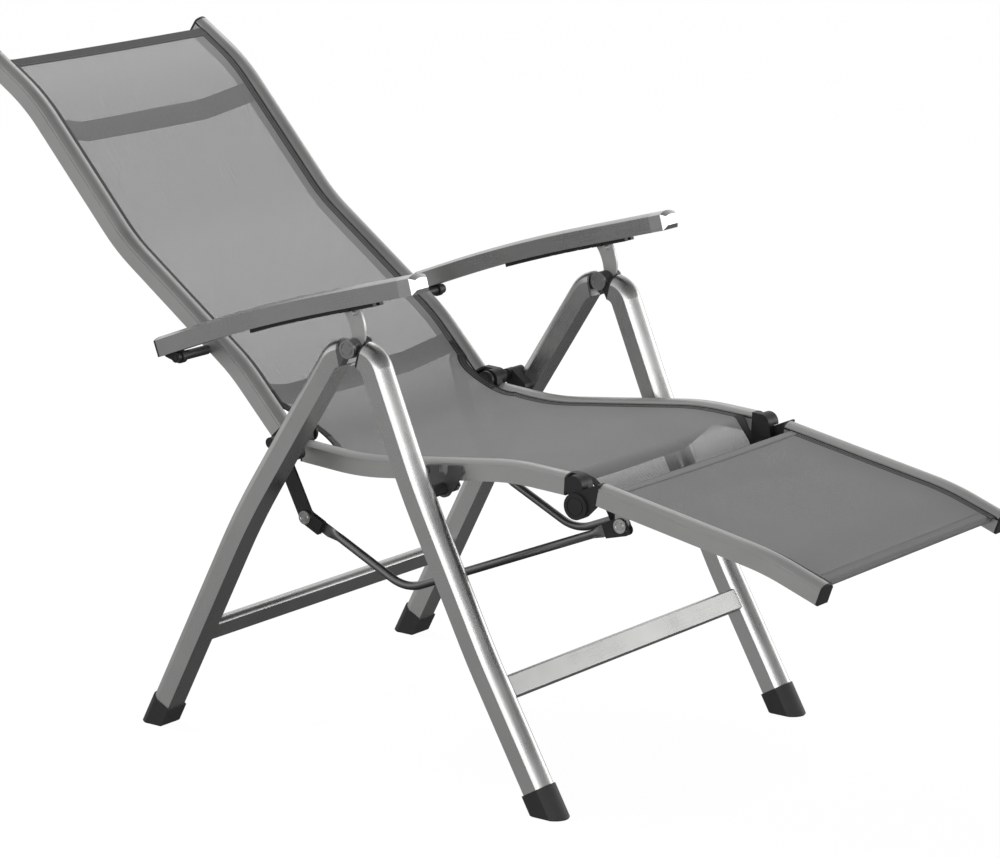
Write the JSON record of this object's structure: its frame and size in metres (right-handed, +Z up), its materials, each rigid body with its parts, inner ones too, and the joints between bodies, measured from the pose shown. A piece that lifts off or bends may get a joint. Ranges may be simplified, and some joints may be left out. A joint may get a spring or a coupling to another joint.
{
  "type": "reclining garden armchair",
  "caption": "Folding aluminium garden recliner with a mesh sling, notched armrests for the back angle and a footrest linked to the back.",
  "frame": {"origin": "on the floor, under the centre of the bounding box", "axes": "+Z up, +Y towards the back, the sitter faces -Y, +X towards the sitter's left"},
  "size_m": [0.6074, 1.3862, 0.8891],
  "materials": {
    "leg_aluminium": "satin brushed",
    "rail_aluminium": "satin anodised",
    "armrest_aluminium": "satin anodised",
    "cap_aluminium": "bright",
    "cross_tube_steel": "dark grey powder coat",
    "link_steel": "dark grey powder coat",
    "black_plastic": "matte, fine grain",
    "foot_plastic": "matte",
    "black_steel": "satin black",
    "grey_cap_plastic": "satin grey",
    "zinc_steel": "bright zinc",
    "light_grey_steel": "light grey",
    "mesh_fabric": "fine woven mesh"
  },
  "bodies": {
    "front_legs": {"front_leg_left": "leg_aluminium", "front_leg_right": "leg_aluminium", "front_foot_caps": "foot_plastic", "front_crossbar": "leg_aluminium", "front_leg_hub_plugs": "black_plastic", "hub_bolts": "grey_cap_plastic", "armrest_latches": "light_grey_steel", "seat_pivot_bolts": "zinc_steel", "seat_pivot_spacers": "black_plastic", "seat_pivot_nuts": "zinc_steel"},
    "rear_legs": {"rear_leg_left": "leg_aluminium", "rear_leg_right": "leg_aluminium", "rear_foot_caps": "foot_plastic", "rear_crossbar": "leg_aluminium", "rear_leg_hub_plugs": "black_plastic", "hinge_cradles": "black_plastic"},
    "seat": {"seat_rail_left": "rail_aluminium", "seat_rail_right": "rail_aluminium", "seat_rear_knuckles": "black_plastic", "seat_front_knuckles": "black_plastic", "back_hinge_bolts": "zinc_steel", "back_hinge_sleeves": "black_plastic", "back_hinge_knobs": "black_plastic", "seat_brackets": "light_grey_steel", "knee_bolts": "grey_cap_plastic", "seat_front_cross_tube": "cross_tube_steel", "seat_sling": "mesh_fabric"},
    "back": {"back_rail_left": "rail_aluminium", "back_rail_right": "rail_aluminium", "back_knuckles": "black_plastic", "back_top_caps": "black_plastic", "footrest_levers": "black_steel", "lever_pins_and_rivets": "zinc_steel", "armrest_pivot_bolts": "black_steel", "back_upper_cross_tube": "cross_tube_steel", "back_lumbar_cross_tube": "cross_tube_steel", "back_sling": "mesh_fabric"},
    "footrest": {"footrest_rail_left": "rail_aluminium", "footrest_rail_right": "rail_aluminium", "footrest_knuckles": "black_plastic", "footrest_end_caps": "black_plastic", "footrest_link_tabs": "light_grey_steel", "footrest_link_pins": "zinc_steel", "footrest_front_cross_tube": "cross_tube_steel", "footrest_sling": "mesh_fabric"},
    "link_left": {"link_rod_left": "link_steel", "link_clevises_left": "black_steel"},
    "armrest_left": {"armrest_left": "armrest_aluminium", "armrest_front_cap_left": "cap_aluminium", "armrest_rear_fitting_left": "black_plastic", "armrest_rack_left": "black_plastic"},
    "link_right": {"link_rod_right": "link_steel", "link_clevises_right": "black_steel"},
    "armrest_right": {"armrest_right": "armrest_aluminium", "armrest_front_cap_right": "cap_aluminium", "armrest_rear_fitting_right": "black_plastic", "armrest_rack_right": "black_plastic"}
  },
  "joints": [
    {"name": "seat_fold", "type": "hinge", "parent": "front_legs", "child": "seat", "pos_m": [0, -0.111, 0.391], "axis": [1, 0, 0], "range_deg": [0, 10]},
    {"name": "rear_leg_fold", "type": "hinge", "parent": "front_legs", "child": "rear_legs", "pos_m": [0, -0.00539, 0.5734], "axis": [1, 0, 0], "range_deg": [-55, 0]},
    {"name": "back_recline", "type": "hinge", "parent": "seat", "child": "back", "pos_m": [0, 0.14011, 0.423], "axis": [1, 0, 0], "range_deg": [0, 32]},
    {"name": "footrest_drop", "type": "hinge", "parent": "seat", "child": "footrest", "pos_m": [0, -0.32089, 0.4], "axis": [1, 0, 0], "range_deg": [0, 71.84]},
    {"name": "link_swing_left", "type": "hinge", "parent": "back", "child": "link_left", "pos_m": [0, 0.14011, 0.306], "axis": [1, 0, 0], "range_deg": [-26.17, 0]},
    {"name": "armrest_tilt_left", "type": "hinge", "parent": "back", "child": "armrest_left", "pos_m": [0, 0.29211, 0.52], "axis": [1, 0, 0], "range_deg": [-21.23, 0]},
    {"name": "link_swing_right", "type": "hinge", "parent": "back", "child": "link_right", "pos_m": [0, 0.14011, 0.306], "axis": [1, 0, 0], "range_deg": [-26.17, 0]},
    {"name": "armrest_tilt_right", "type": "hinge", "parent": "back", "child": "armrest_right", "pos_m": [0, 0.29211, 0.52], "axis": [1, 0, 0], "range_deg": [-21.23, 0]}
  ],
  "couplings": [
    {"joint": "rear_leg_fold", "follows": "seat_fold", "ratio": -5.5},
    {"joint": "footrest_drop", "follows": "back_recline", "ratio": 2.2433},
    {"joint": "link_swing_left", "follows": "back_recline", "ratio": -0.8164},
    {"joint": "armrest_tilt_left", "follows": "back_recline", "ratio": -0.662},
    {"joint": "link_swing_right", "follows": "back_recline", "ratio": -0.8164},
    {"joint": "armrest_tilt_right", "follows": "back_recline", "ratio": -0.662}
  ]
}
